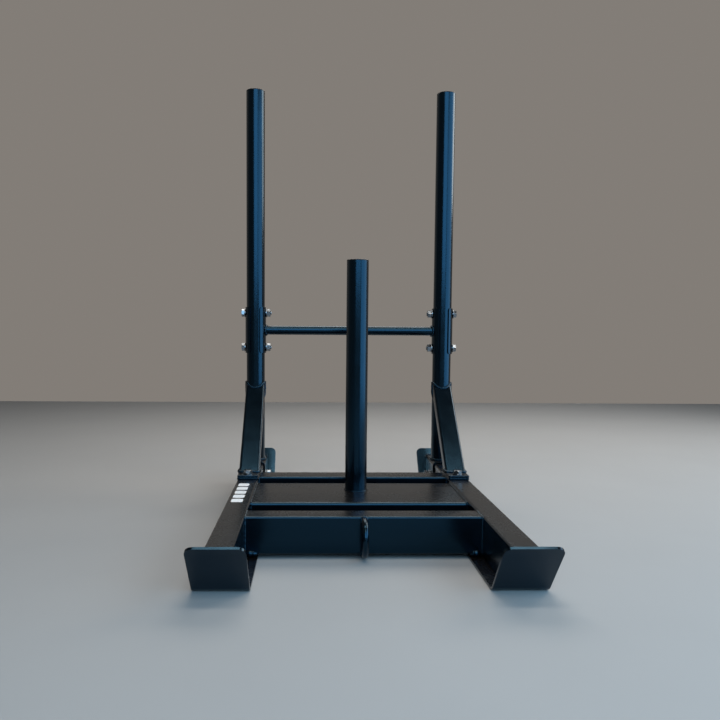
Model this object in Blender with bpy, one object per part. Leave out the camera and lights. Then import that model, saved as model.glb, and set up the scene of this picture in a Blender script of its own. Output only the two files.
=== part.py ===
"""A push and pull weight sled for the gym floor, modelled as the pieces that it is made of.

Two rectangular tubes, the runners, lie on skis that are bent up at both ends. A front tube with a
tow loop, a folded platform that carries the post for weight plates, and a rear tube tie the runners
together.
At the rear stand two removable uprights. Each is a round pole on a saddle that straddles its runner,
with a flat tube as a brace down to a bolted foot plate. A handle bar with a C-shaped clamp at each end is
bolted across the two poles.

The sled points along -Y, its tow end, with +X to the right and +Z up. The origin is on the floor,
half way between the tips of the skis. Everything is in metres.
"""

import math

import bmesh
import bpy
from mathutils import Matrix

# Clearances.
seat_gap = 0.0003  # between pieces that are welded, bolted or pressed together
hole_clearance = 0.0005  # added to the radius of a hole that a bolt passes through

# Skis.
ski_length = 0.960
ski_width = 0.100
ski_thickness = 0.005
ski_tip_height = 0.102
ski_tip_angle = math.radians(51.5)
ski_bend_radius = 0.020
ski_corner_radius = 0.015

# Runners, which are rectangular tubes.
runner_spacing = 0.516
runner_width = 0.050
runner_height = 0.080
tube_wall = 0.003
tube_corner_radius = 0.006

# Cross tubes. The front one keeps its distance to the skis' tips, the rear one to the platform.
front_tube_from_tip = 0.2475
front_tube_depth = 0.050
front_tube_height = 0.075
rear_tube_from_platform = 0.040
rear_tube_depth = 0.060
rear_tube_height = 0.060

# Folded platform for the weight plates, behind the front tube.
platform_from_tube = 0.0865
platform_length = 0.198
platform_drop = 0.006
platform_thickness = 0.005
platform_flange = 0.035
platform_bend_radius = 0.005

# Post for the weight plates, on the platform.
post_from_platform_front = 0.126
post_diameter = 0.050
post_height = 0.609

# Tow loop.
loop_rod_diameter = 0.012
loop_radius = 0.034
loop_leg = 0.006
loop_drop = 0.040  # from the top of the runners to the middle of the loop

# Poles, and the plastic plugs that close the tops of the poles and of the post.
pole_from_tip = 0.114
pole_diameter = 0.050
pole_height = 1.091
pole_wall = 0.003
cap_flange = 0.003
cap_edge_radius = 0.0015
cap_plug_length = 0.020
cap_wall = 0.003

# Saddles under the poles.
saddle_length = 0.110
saddle_thickness = 0.004
saddle_leg = 0.056
saddle_bolt_drop = 0.038

# Braces, their foot plates and the pads on the runners that the foot plates are bolted to.
brace_width = 0.050
brace_depth = 0.030  # from its front face to its rear face
brace_reach = 0.220  # from the front of the brace's foot to the middle of the pole
brace_angle = math.radians(45)
foot_front_margin = 0.040
foot_rear_margin = 0.009
foot_thickness = 0.005
pad_thickness = 0.005
plate_corner_radius = 0.003

# Clamps and the handle bar between them.
clamp_height = 0.125
clamp_thickness = 0.003
clamp_opening = math.radians(58)
clamp_bolt_spacing = 0.094
handle_height = 0.448
handle_diameter = 0.025
handle_wall = 0.0025

# M12 fasteners.
bolt_diameter = 0.012
bolt_end_past_nut = 0.0025
hex_width = 0.0185
head_height = 0.0075
nut_height = 0.010
washer_diameter = 0.024
washer_thickness = 0.002

# Faces along the round pieces.
round_steps = 40
small_round_steps = 20
corner_steps = 4

# Places that follow from the sizes.
runner_bottom = ski_thickness + seat_gap
runner_top = runner_bottom + runner_height
between_runners = runner_spacing - runner_width - 2 * seat_gap
front_tube_face = front_tube_from_tip - ski_length / 2
platform_top = runner_top - platform_drop
platform_front = front_tube_face + front_tube_depth + platform_from_tube
platform_rear = platform_front + platform_length
rear_tube_face = platform_rear + rear_tube_from_platform
post_place = platform_front + post_from_platform_front
pole_x = runner_spacing / 2
pole_place = ski_length / 2 - pole_from_tip
saddle_bottom = runner_top + seat_gap
saddle_top = saddle_bottom + saddle_thickness
pole_bottom = saddle_top + seat_gap
pad_bottom = runner_top + seat_gap
foot_bottom = pad_bottom + pad_thickness + seat_gap
foot_top = foot_bottom + foot_thickness
brace_bottom = foot_top + seat_gap
brace_footprint = brace_depth / math.sin(brace_angle)
brace_foot_front = pole_place - brace_reach
foot_front = brace_foot_front - foot_front_margin
foot_rear = brace_foot_front + brace_footprint + foot_rear_margin
foot_bolt_place = (foot_front + brace_foot_front) / 2
clamp_inner = pole_diameter / 2 + seat_gap
clamp_outer = clamp_inner + clamp_thickness
bolt_radius = bolt_diameter / 2
hole_radius = bolt_radius + hole_clearance
sides = (("left", -1), ("right", 1))
levels = (("upper", 1), ("lower", -1))

# Far past any piece, for cutters.
beyond = 0.2

black = ((0.012, 0.013, 0.015), 0.42, 0.0)
zinc = ((0.62, 0.63, 0.64), 0.30, 1.0)
plastic = ((0.015, 0.015, 0.016), 0.55, 0.0)


def clear_scene():
    for thing in list(bpy.data.objects):
        bpy.data.objects.remove(thing, do_unlink=True)


def add_object(name, mesh, finish=black):
    """Links a mesh to the scene, shades its round faces smooth and gives it its own material."""
    mesh.shade_smooth()
    mesh.set_sharp_from_angle(angle=math.radians(35))
    piece = bpy.data.objects.new(name, mesh)
    bpy.context.scene.collection.objects.link(piece)
    colour, roughness, metallic = finish
    material = bpy.data.materials.new(f"{name}_finish")
    material.use_nodes = True
    shader = material.node_tree.nodes["Principled BSDF"]
    shader.inputs["Base Color"].default_value = (*colour, 1.0)
    shader.inputs["Roughness"].default_value = roughness
    shader.inputs["Metallic"].default_value = metallic
    material.diffuse_color = (*colour, 1.0)
    mesh.materials.clear()
    mesh.materials.append(material)
    return piece


def hide_cutter(piece):
    piece.hide_render = True
    piece.display_type = "WIRE"
    return piece


def finish_mesh(name, sketch):
    """Turns a bmesh into a mesh whose faces point outwards."""
    bmesh.ops.recalc_face_normals(sketch, faces=sketch.faces)
    mesh = bpy.data.meshes.new(name)
    sketch.to_mesh(mesh)
    sketch.free()
    return mesh


def cut(piece, cutter, operation="DIFFERENCE"):
    boolean = piece.modifiers.new(f"{operation.lower()}_{cutter.name}", "BOOLEAN")
    boolean.operation = operation
    boolean.solver = "EXACT"
    boolean.object = cutter
    return boolean


def arc(centre_x, centre_y, radius, start, end, steps):
    """Points of an arc, with both of its ends."""
    points = []
    for step in range(steps + 1):
        angle = start + (end - start) * step / steps
        points.append((centre_x + radius * math.cos(angle), centre_y + radius * math.sin(angle)))
    return points


def circle(radius, steps):
    return arc(0, 0, radius, 0, 2 * math.pi, steps)[:-1]


def hexagon(width):
    """A hexagon that is `width` across its flats."""
    return circle(width / math.sqrt(3), 6)


def rounded_rectangle(width, height, radius):
    """The outline of a tube, middle at the origin, counter-clockwise."""
    points = []
    for quarter in range(4):
        start = quarter * math.pi / 2
        across = 1 if quarter in (0, 3) else -1
        up = 1 if quarter in (0, 1) else -1
        centre_x = across * (width / 2 - radius)
        centre_y = up * (height / 2 - radius)
        points += arc(centre_x, centre_y, radius, start, start + math.pi / 2, corner_steps)
    return points


def folded_line(corners, radius, steps):
    """A line of straight runs through `corners`, with each inner corner rounded to `radius`.

    Returns points with the unit normal to the left of the line at each.
    """
    line = []

    def add(point, direction):
        line.append((point, (-direction[1], direction[0])))

    def unit(a, b):
        length = math.dist(a, b)
        return ((b[0] - a[0]) / length, (b[1] - a[1]) / length)

    add(corners[0], unit(corners[0], corners[1]))
    for before, corner, after in zip(corners, corners[1:], corners[2:]):
        way_in = unit(before, corner)
        way_out = unit(corner, after)
        turn = math.atan2(
            way_in[0] * way_out[1] - way_in[1] * way_out[0],
            way_in[0] * way_out[0] + way_in[1] * way_out[1],
        )
        back = radius * math.tan(abs(turn) / 2)
        side = 1 if turn > 0 else -1
        start = (corner[0] - way_in[0] * back, corner[1] - way_in[1] * back)
        centre = (start[0] - side * way_in[1] * radius, start[1] + side * way_in[0] * radius)
        heading = math.atan2(way_in[1], way_in[0])
        for step in range(steps + 1):
            angle = heading + turn * step / steps
            direction = (math.cos(angle), math.sin(angle))
            point = (
                centre[0] + side * direction[1] * radius,
                centre[1] - side * direction[0] * radius,
            )
            add(point, direction)
    add(corners[-1], unit(corners[-2], corners[-1]))
    return line


def sheet_outline(line, thickness):
    """The closed outline of a sheet of `thickness` whose middle follows the line."""
    half = thickness / 2
    left = [(p[0] + n[0] * half, p[1] + n[1] * half) for p, n in line]
    right = [(p[0] - n[0] * half, p[1] - n[1] * half) for p, n in line]
    return left + right[::-1]


def along_x(a, b, distance):
    """Places an outline's (Y, Z) point at `distance` along X."""
    return (distance, a, b)


def along_y(a, b, distance):
    """Places an outline's (X, Z) point at `distance` along Y."""
    return (a, distance, b)


def along_z(a, b, distance):
    """Places an outline's (X, Y) point at `distance` along Z."""
    return (a, b, distance)


def prism(name, outline, low, high, place, hollow=None):
    """A solid of constant section. `hollow` is the outline of a hole right through, of as many points."""
    sketch = bmesh.new()
    rings = []
    for shape in [outline] + ([hollow] if hollow else []):
        bottom = [sketch.verts.new(place(a, b, low)) for a, b in shape]
        top = [sketch.verts.new(place(a, b, high)) for a, b in shape]
        rings.append((bottom, top))
        for here in range(len(shape)):
            after = (here + 1) % len(shape)
            sketch.faces.new((bottom[here], bottom[after], top[after], top[here]))
    for end in (0, 1):
        if hollow:
            outer, inner = rings[0][end], rings[1][end]
            for here in range(len(outer)):
                after = (here + 1) % len(outer)
                sketch.faces.new((outer[here], outer[after], inner[after], inner[here]))
        else:
            sketch.faces.new(rings[0][end])
    return finish_mesh(name, sketch)


def tube_section(width, height):
    """The outer and the inner outline of a rectangular tube."""
    outer = rounded_rectangle(width, height, tube_corner_radius)
    inner = rounded_rectangle(width - 2 * tube_wall, height - 2 * tube_wall, tube_corner_radius - tube_wall)
    return outer, inner


def moved(outline, a, b):
    return [(x + a, y + b) for x, y in outline]


def drill(piece, name, radius, place, low, high, centre=(0, 0)):
    """Cuts a round hole right through a piece between `low` and `high`."""
    outline = moved(circle(radius, small_round_steps), *centre)
    drill_bit = hide_cutter(add_object(f"{name}_cutter", prism(name, outline, low, high, place)))
    cut(piece, drill_bit)
    return drill_bit


def ski_line():
    """The middle of the ski's plate, from the front tip to the rear tip, as (Y, Z) points."""
    half = ski_thickness / 2
    bend = ski_bend_radius + half
    rise = bend * (1 - math.cos(ski_tip_angle))
    tip_run = (ski_tip_height - half - rise - half * math.cos(ski_tip_angle)) / math.sin(ski_tip_angle)
    corner_to_tip = tip_run + bend * math.tan(ski_tip_angle / 2)
    tip_y = ski_length / 2 - half * math.sin(ski_tip_angle)
    corner_y = tip_y - corner_to_tip * math.cos(ski_tip_angle)
    tip_z = half + corner_to_tip * math.sin(ski_tip_angle)
    corners = [(-tip_y, tip_z), (-corner_y, half), (corner_y, half), (tip_y, tip_z)]
    return folded_line(corners, bend, 6)


def with_tip_steps(line):
    """The ski's line with extra points along its last stretches, where the corners are rounded."""
    tips = []
    for tip, inward in ((line[0], line[1]), (line[-1], line[-2])):
        (y, z), normal = tip
        length = math.dist(tip[0], inward[0])
        way = ((inward[0][0] - y) / length, (inward[0][1] - z) / length)
        steps = []
        for step in range(corner_steps + 2):
            distance = ski_corner_radius * (1 - math.cos(math.pi / 2 * step / (corner_steps + 1)))
            narrowing = ski_corner_radius * (1 - math.sin(math.pi / 2 * step / (corner_steps + 1)))
            steps.append(((y + way[0] * distance, z + way[1] * distance), normal, narrowing))
        tips.append(steps)
    middle = [(point, normal, 0.0) for point, normal in line[1:-1]]
    return tips[0] + middle + tips[1][::-1]


def make_ski(side_name, side):
    sketch = bmesh.new()
    sections = []
    for (y, z), (normal_y, normal_z), narrowing in with_tip_steps(ski_line()):
        half_width = ski_width / 2 - narrowing
        section = []
        for across, out in ((-1, -1), (1, -1), (1, 1), (-1, 1)):
            x = side * pole_x + across * half_width
            lift = out * ski_thickness / 2
            section.append(sketch.verts.new((x, y + normal_y * lift, z + normal_z * lift)))
        sections.append(section)
    for before, after in zip(sections, sections[1:]):
        for here in range(4):
            there = (here + 1) % 4
            sketch.faces.new((before[here], before[there], after[there], after[here]))
    sketch.faces.new(sections[0])
    sketch.faces.new(sections[-1])
    return add_object(f"{side_name}_ski", finish_mesh(f"{side_name}_ski", sketch))


def make_runner(side_name, side):
    """A rectangular tube whose ends are cut to the skis' bent tips."""
    name = f"{side_name}_runner"
    outer, inner = tube_section(runner_width, runner_height)
    middle = (side * pole_x, runner_bottom + runner_height / 2)
    section = moved(outer, *middle)
    bore = moved(inner, *middle)
    runner = add_object(name, prism(name, section, -ski_length / 2, ski_length / 2, along_y, bore))
    inside = ski_thickness / 2 + seat_gap
    line = ski_line()
    surface = [(y + normal_y * inside, z + normal_z * inside) for (y, z), (normal_y, normal_z) in line]
    for end_name, end in (("front", -1), ("rear", 1)):
        bend = [point for point in surface if point[0] * end > 0]
        if end > 0:
            bend = bend[::-1]
        tip, inward = bend[0], bend[1]
        past_tip = (
            tip[0] + (tip[0] - inward[0]) * beyond / math.dist(tip, inward),
            tip[1] + (tip[1] - inward[1]) * beyond / math.dist(tip, inward),
        )
        outline = bend[::-1] + [past_tip]
        outline.append((end * ski_length, past_tip[1]))
        outline.append((end * ski_length, -beyond))
        outline.append((bend[-1][0], -beyond))
        low = side * pole_x - ski_width
        high = side * pole_x + ski_width
        cutter_name = f"{name}_{end_name}_cutter"
        cut(runner, hide_cutter(add_object(cutter_name, prism(cutter_name, outline, low, high, along_x))))
    bolt_z = runner_top - saddle_bolt_drop
    low = side * pole_x - runner_width
    high = side * pole_x + runner_width
    drill(runner, f"{name}_saddle_hole", hole_radius, along_x, low, high, (pole_place, bolt_z))
    top_wall = (runner_top - 2 * tube_wall, runner_top + beyond)
    drill(runner, f"{name}_foot_hole", hole_radius, along_z, *top_wall, (side * pole_x, foot_bolt_place))
    return runner


def make_cross_tube(name, face, depth, height):
    """A tube across the sled, flush with the tops of the runners."""
    outer, inner = tube_section(depth, height)
    middle = (face + depth / 2, runner_top - height / 2)
    half = between_runners / 2
    return add_object(name, prism(name, moved(outer, *middle), -half, half, along_x, moved(inner, *middle)))


def make_platform():
    """A folded channel, open below, that the post stands on."""
    half = platform_thickness / 2
    top = platform_top - half
    bottom = platform_top - platform_flange
    front = platform_front + half
    rear = platform_rear - half
    corners = [(front, bottom), (front, top), (rear, top), (rear, bottom)]
    line = folded_line(corners, platform_bend_radius + half, 5)
    outline = sheet_outline(line, platform_thickness)
    reach = between_runners / 2
    return add_object("weight_platform", prism("weight_platform", outline, -reach, reach, along_x))


def round_tube(name, radius, wall, low, high, place, centre=(0, 0)):
    outer = moved(circle(radius, round_steps), *centre)
    inner = moved(circle(radius - wall, round_steps), *centre)
    return add_object(name, prism(name, outer, low, high, place, inner))


def make_cap(name, tube_diameter, tube_top, x, y):
    """A plastic plug for the top of a round tube, open below, turned from its profile."""
    rim = tube_diameter / 2
    plug = rim - pole_wall - seat_gap
    seat = tube_top + seat_gap
    top = tube_top + cap_flange
    edge = arc(rim - cap_edge_radius, top - cap_edge_radius, cap_edge_radius, math.pi / 2, 0, 3)
    profile = [(0, top)] + edge
    profile += [(rim, seat), (plug, seat), (plug, seat - cap_plug_length)]
    profile += [(plug - cap_wall, seat - cap_plug_length), (plug - cap_wall, seat), (0, seat)]
    sketch = bmesh.new()
    points = [sketch.verts.new((x + a, y, b)) for a, b in profile]
    edges = [sketch.edges.new((points[i], points[i + 1])) for i in range(len(points) - 1)]
    bmesh.ops.spin(
        sketch,
        geom=points + edges,
        cent=(x, y, 0),
        axis=(0, 0, 1),
        angle=2 * math.pi,
        steps=round_steps,
        use_merge=True,
    )
    bmesh.ops.remove_doubles(sketch, verts=sketch.verts, dist=0.00001)
    return add_object(name, finish_mesh(name, sketch), plastic)


def make_tow_loop():
    """A bent rod whose two legs are welded to the middle of the front tube's face."""
    middle = runner_top - loop_drop
    start = front_tube_face - seat_gap
    turn = start - loop_leg
    route = [(start, middle + loop_radius)]
    route += arc(turn, middle, loop_radius, math.pi / 2, 3 * math.pi / 2, 16)
    route.append((start, middle - loop_radius))
    curve = bpy.data.curves.new("tow_loop", "CURVE")
    curve.dimensions = "3D"
    curve.bevel_depth = loop_rod_diameter / 2
    curve.bevel_resolution = 3
    curve.use_fill_caps = True
    spline = curve.splines.new("POLY")
    spline.points.add(len(route) - 1)
    for point, (y, z) in zip(spline.points, route):
        point.co = (0, y, z, 1)
    guide = hide_cutter(bpy.data.objects.new("tow_loop_guide", curve))
    bpy.context.scene.collection.objects.link(guide)
    bpy.context.view_layer.update()
    mesh = bpy.data.meshes.new_from_object(guide.evaluated_get(bpy.context.evaluated_depsgraph_get()))
    sketch = bmesh.new()
    sketch.from_mesh(mesh)
    bmesh.ops.remove_doubles(sketch, verts=sketch.verts, dist=0.00001)
    return add_object("tow_loop", finish_mesh("tow_loop", sketch))


def make_pole(side_name, side):
    name = f"{side_name}_pole"
    centre = (side * pole_x, pole_place)
    radius = pole_diameter / 2
    pole = round_tube(name, radius, pole_wall, pole_bottom, pole_height - cap_flange, along_z, centre)
    low = side * pole_x - beyond
    high = side * pole_x + beyond
    for level_name, level in levels:
        bolt_z = handle_height + level * clamp_bolt_spacing / 2
        drill(pole, f"{name}_{level_name}_hole", hole_radius, along_x, low, high, (pole_place, bolt_z))
    make_cap(f"{side_name}_pole_cap", pole_diameter, pole_height - cap_flange, *centre)
    return pole


def make_saddle(side_name, side):
    """A plate folded over the runner, bolted through it, which the pole is welded to."""
    name = f"{side_name}_saddle"
    half = saddle_thickness / 2
    reach = runner_width / 2 + seat_gap + half
    top = saddle_bottom + half
    bottom = saddle_top - saddle_leg
    corners = [(-reach, bottom), (-reach, top), (reach, top), (reach, bottom)]
    line = folded_line(corners, tube_corner_radius + seat_gap + half, 5)
    outline = moved(sheet_outline(line, saddle_thickness), side * pole_x, 0)
    front = pole_place - saddle_length / 2
    rear = pole_place + saddle_length / 2
    saddle = add_object(name, prism(name, outline, front, rear, along_y))
    bolt_z = runner_top - saddle_bolt_drop
    low = side * pole_x - ski_width
    high = side * pole_x + ski_width
    drill(saddle, f"{name}_hole", hole_radius, along_x, low, high, (pole_place, bolt_z))
    return saddle


def make_brace(side_name, side):
    """A flat tube that leans back from its foot plate and is notched round the pole."""
    name = f"{side_name}_brace"
    outer, inner = tube_section(brace_width, brace_depth)
    long_enough = 2 * pole_place
    mesh = prism(name, outer, -beyond, long_enough, along_z, inner)
    # The tube stands upright here. It leans back about X, then its front face goes to its foot.
    lean = Matrix.Rotation(-(math.pi / 2 - brace_angle), 4, "X")
    foot_middle = brace_foot_front + brace_footprint / 2
    mesh.transform(Matrix.Translation((side * pole_x, foot_middle, brace_bottom)) @ lean)
    brace = add_object(name, mesh)
    radius = pole_diameter / 2 + seat_gap
    notch = arc(0, 0, radius, 0, -math.pi, round_steps // 2)
    notch += [(-brace_width, 0), (-brace_width, 2 * long_enough)]
    notch += [(brace_width, 2 * long_enough), (brace_width, 0)]
    notch = moved(notch, side * pole_x, pole_place)
    notch_name = f"{name}_notch_cutter"
    tall = (-beyond, 2 * long_enough)
    cut(brace, hide_cutter(add_object(notch_name, prism(notch_name, notch, *tall, along_z))))
    floor_name = f"{name}_floor_cutter"
    floor_outline = moved(rounded_rectangle(4 * beyond, 8 * beyond, beyond / 2), side * pole_x, 0)
    floor_mesh = prism(floor_name, floor_outline, -2 * beyond, brace_bottom, along_z)
    cut(brace, hide_cutter(add_object(floor_name, floor_mesh)))
    return brace


def make_bolted_plate(name, side, low, thickness):
    """One of the two flat plates under a brace, with the hole for its bolt."""
    length = foot_rear - foot_front
    middle = (side * pole_x, foot_front + length / 2)
    outline = moved(rounded_rectangle(brace_width, length, plate_corner_radius), *middle)
    plate = add_object(name, prism(name, outline, low, low + thickness, along_z))
    span = (low - thickness, low + 2 * thickness)
    drill(plate, f"{name}_hole", hole_radius, along_z, *span, (side * pole_x, foot_bolt_place))
    return plate


def make_clamp(side_name, side):
    """A C-shaped shell round the back of the pole, open at the front."""
    name = f"{side_name}_clamp"
    start = -math.pi / 2 + clamp_opening / 2
    end = 3 * math.pi / 2 - clamp_opening / 2
    outline = arc(0, 0, clamp_outer, start, end, round_steps)
    outline += arc(0, 0, clamp_inner, end, start, round_steps)
    outline = moved(outline, side * pole_x, pole_place)
    low = handle_height - clamp_height / 2
    clamp = add_object(name, prism(name, outline, low, low + clamp_height, along_z))
    left = side * pole_x - 2 * clamp_outer
    right = side * pole_x + 2 * clamp_outer
    for level_name, level in levels:
        bolt_z = handle_height + level * clamp_bolt_spacing / 2
        drill(clamp, f"{name}_{level_name}_hole", hole_radius, along_x, left, right, (pole_place, bolt_z))
    return clamp


def make_handle_bar():
    """A round tube between the clamps, with its ends cut to their curve."""
    centre = (pole_place, handle_height)
    radius = handle_diameter / 2
    bar = round_tube("handle_bar", radius, handle_wall, -pole_x, pole_x, along_x, centre)
    for side_name, side in sides:
        name = f"handle_{side_name}_cutter"
        outline = moved(circle(clamp_outer + seat_gap, round_steps), side * pole_x, pole_place)
        low = handle_height - clamp_height / 2
        cut(bar, hide_cutter(add_object(name, prism(name, outline, low, low + clamp_height, along_z))))
    return bar


def bolt_mesh(name, grip):
    """A hexagon head on top of a plain shank of length `grip`, head upwards, seat at the origin."""
    head = add_object(f"{name}_head", prism(f"{name}_head", hexagon(hex_width), 0, head_height, along_z))
    shank_outline = circle(bolt_radius, small_round_steps)
    shank_mesh = prism(f"{name}_shank", shank_outline, -grip, head_height / 2, along_z)
    shank = add_object(f"{name}_shank", shank_mesh)
    cut(head, shank, "UNION")
    bpy.context.view_layer.update()
    joined = head.evaluated_get(bpy.context.evaluated_depsgraph_get())
    mesh = bpy.data.meshes.new_from_object(joined)
    mesh.name = name
    for helper in (head, shank):
        bpy.data.objects.remove(helper, do_unlink=True)
    return mesh


def nut_mesh(name):
    """A hexagon nut that starts at the origin and stands upwards."""
    blank = add_object(f"{name}_blank", prism(f"{name}_blank", hexagon(hex_width), 0, nut_height, along_z))
    drill(blank, f"{name}_bore", bolt_radius + seat_gap, along_z, -nut_height, 2 * nut_height)
    bpy.context.view_layer.update()
    bored = blank.evaluated_get(bpy.context.evaluated_depsgraph_get())
    mesh = bpy.data.meshes.new_from_object(bored)
    mesh.name = name
    bpy.data.objects.remove(blank, do_unlink=True)
    bpy.data.objects.remove(bpy.data.objects[f"{name}_bore_cutter"], do_unlink=True)
    return mesh


def washer_mesh(name):
    outer = circle(washer_diameter / 2, small_round_steps)
    inner = circle(bolt_radius + seat_gap, small_round_steps)
    return prism(name, outer, 0, washer_thickness, along_z, inner)


def fastener(name, mesh, place, turn):
    """Sets a copy of a fastener's mesh where it belongs. `turn` takes its own +Z to its direction."""
    piece = add_object(name, mesh.copy(), zinc)
    piece.location = place
    piece.rotation_euler = turn
    return piece


def make_cross_bolt(name, side, reach, y, z):
    """A bolt across an upright along X, its head outboard, with two washers and a nut inboard.

    `reach` is how far the faces that it clamps lie from the middle of the upright.
    """
    outward = (0, side * math.pi / 2, 0)
    inward = (0, -side * math.pi / 2, 0)
    middle = side * pole_x
    washer_seat = reach + seat_gap
    hex_seat = washer_seat + washer_thickness + seat_gap
    shank_end = hex_seat + nut_height + bolt_end_past_nut
    bolt = bolt_mesh(f"{name}_bolt", hex_seat + shank_end)
    washer = washer_mesh(f"{name}_washer")
    fastener(f"{name}_bolt", bolt, (middle + side * hex_seat, y, z), outward)
    fastener(f"{name}_head_washer", washer, (middle + side * washer_seat, y, z), outward)
    fastener(f"{name}_nut_washer", washer, (middle - side * washer_seat, y, z), inward)
    fastener(f"{name}_nut", nut_mesh(f"{name}_nut"), (middle - side * hex_seat, y, z), inward)


def make_foot_bolt(side_name, side):
    """The bolt that holds a brace's foot plate down, with the nut inside the runner."""
    name = f"{side_name}_foot"
    middle = side * pole_x
    washer_seat = foot_top + seat_gap
    head_seat = washer_seat + washer_thickness + seat_gap
    nut_seat = runner_top - tube_wall - seat_gap - nut_height
    grip = head_seat - nut_seat + bolt_end_past_nut
    bolt = bolt_mesh(f"{name}_bolt", grip)
    upright = (0, 0, 0)
    fastener(f"{name}_bolt", bolt, (middle, foot_bolt_place, head_seat), upright)
    washer = washer_mesh(f"{name}_bolt_washer")
    fastener(f"{name}_bolt_washer", washer, (middle, foot_bolt_place, washer_seat), upright)
    fastener(f"{name}_weld_nut", nut_mesh(f"{name}_weld_nut"), (middle, foot_bolt_place, nut_seat), upright)


def make_base():
    for side_name, side in sides:
        make_ski(side_name, side)
        make_runner(side_name, side)
    make_cross_tube("front_cross_tube", front_tube_face, front_tube_depth, front_tube_height)
    make_cross_tube("rear_cross_tube", rear_tube_face, rear_tube_depth, rear_tube_height)
    make_platform()
    post_bottom = platform_top + seat_gap
    post_tube_top = post_height - cap_flange
    centre = (0, post_place)
    round_tube("weight_post", post_diameter / 2, pole_wall, post_bottom, post_tube_top, along_z, centre)
    make_cap("weight_post_cap", post_diameter, post_tube_top, *centre)
    make_tow_loop()


def make_uprights():
    for side_name, side in sides:
        make_pole(side_name, side)
        make_saddle(side_name, side)
        make_brace(side_name, side)
        make_bolted_plate(f"{side_name}_runner_pad", side, pad_bottom, pad_thickness)
        make_bolted_plate(f"{side_name}_brace_foot", side, foot_bottom, foot_thickness)
        make_clamp(side_name, side)
    make_handle_bar()


def make_fasteners():
    for side_name, side in sides:
        for level_name, level in levels:
            bolt_z = handle_height + level * clamp_bolt_spacing / 2
            make_cross_bolt(f"{side_name}_{level_name}_clamp", side, clamp_outer, pole_place, bolt_z)
        saddle_reach = runner_width / 2 + seat_gap + saddle_thickness
        make_cross_bolt(f"{side_name}_saddle", side, saddle_reach, pole_place, runner_top - saddle_bolt_drop)
        make_foot_bolt(side_name, side)


clear_scene()
make_base()
make_uprights()
make_fasteners()
bpy.context.view_layer.update()
nodes = [thing for thing in bpy.data.objects if not thing.hide_render]
print(f"{len(nodes)} pieces")
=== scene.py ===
# %% [markdown]
# # A push and pull weight sled
# The sled is welded from steel tube and plate and painted black. Two runners stand on skis that
# are bent up at both ends. Three cross members tie the runners together, a post takes the weight
# plates, and two bolted uprights with a bar between them are there to push against. Each piece is
# made again here with finer curves, eased edges, welds and real fasteners, at the sizes of the
# frame's solids.

# %% Load the frame
from math import copysign, cos, pi, radians, sin, sqrt, tan

import bmesh
import bpy
from mathutils import Matrix, Vector


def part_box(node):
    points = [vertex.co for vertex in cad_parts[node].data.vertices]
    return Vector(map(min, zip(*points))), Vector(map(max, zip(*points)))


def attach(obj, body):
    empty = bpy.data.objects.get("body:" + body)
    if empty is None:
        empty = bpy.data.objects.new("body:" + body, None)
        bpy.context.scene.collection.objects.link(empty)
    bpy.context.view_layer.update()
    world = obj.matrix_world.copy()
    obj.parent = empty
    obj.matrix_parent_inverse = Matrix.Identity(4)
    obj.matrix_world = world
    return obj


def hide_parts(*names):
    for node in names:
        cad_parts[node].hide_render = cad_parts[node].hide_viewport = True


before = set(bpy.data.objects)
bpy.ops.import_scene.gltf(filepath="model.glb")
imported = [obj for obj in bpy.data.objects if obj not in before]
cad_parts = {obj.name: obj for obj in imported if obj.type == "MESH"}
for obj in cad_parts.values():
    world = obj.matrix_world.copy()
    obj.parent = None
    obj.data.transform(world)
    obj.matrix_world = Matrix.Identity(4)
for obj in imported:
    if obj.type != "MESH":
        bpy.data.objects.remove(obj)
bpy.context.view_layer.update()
SIDES = (("left", -1), ("right", 1))

# %% [markdown]
# ## Outlines
# Tube and plate are shapes of one section, so most pieces start as a flat outline. The outline of
# a tube is written so that its first and last points lie level, and so on inwards. Its two halves
# can then be joined by level strips, which closes an end that is cut to a curve without a boolean
# cut.

# %% Outlines
def arc(centre, radius, start, end, steps):
    """Points of an arc, with both of its ends, angles in degrees."""
    points = []
    for step in range(steps + 1):
        angle = radians(start + (end - start) * step / steps)
        points.append((centre[0] + radius * cos(angle), centre[1] + radius * sin(angle)))
    return points


def circle(radius, steps=96):
    """A round outline whose points pair up level with each other, from the bottom to the top."""
    step = 360 / steps
    return arc((0, 0), radius, -90 + step / 2, 270 - step / 2, steps - 1)


def tube_outline(low, high, radius, cuts=1, steps=8):
    """A rounded rectangle between two corners, its sides divided into `cuts` parts."""
    right = arc((high[0] - radius, low[1] + radius), radius, -90, 0, steps)
    rise = high[1] - low[1] - 2 * radius
    right += [(high[0], low[1] + radius + rise * cut / cuts) for cut in range(1, cuts)]
    right += arc((high[0] - radius, high[1] - radius), radius, 0, 90, steps)
    left = [(low[0] + high[0] - a, b) for a, b in reversed(right)]
    return right + left


def folded_line(corners, radius, steps=12):
    """A line through the corners, each of them rounded, as points with the normal on the left."""
    line = []
    ways = [(Vector(b) - Vector(a)).normalized() for a, b in zip(corners, corners[1:])]
    line.append((Vector(corners[0]), ways[0].orthogonal()))
    for corner, way_in, way_out in zip(corners[1:-1], ways, ways[1:]):
        turn = way_in.angle_signed(way_out) * -1
        left = way_in.orthogonal() * copysign(1, turn)
        start = Vector(corner) - way_in * radius * tan(abs(turn) / 2)
        centre = start + left * radius
        for step in range(steps + 1):
            spin = Matrix.Rotation(turn * step / steps, 2)
            line.append((centre - spin @ left * radius, (spin @ way_in).orthogonal()))
    line.append((Vector(corners[-1]), ways[-1].orthogonal()))
    return line


def sheet_outline(line, thickness):
    """The closed outline of a sheet whose middle follows the line."""
    left = [tuple(point + normal * thickness / 2) for point, normal in line]
    right = [tuple(point - normal * thickness / 2) for point, normal in line]
    return left + right[::-1]


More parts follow.
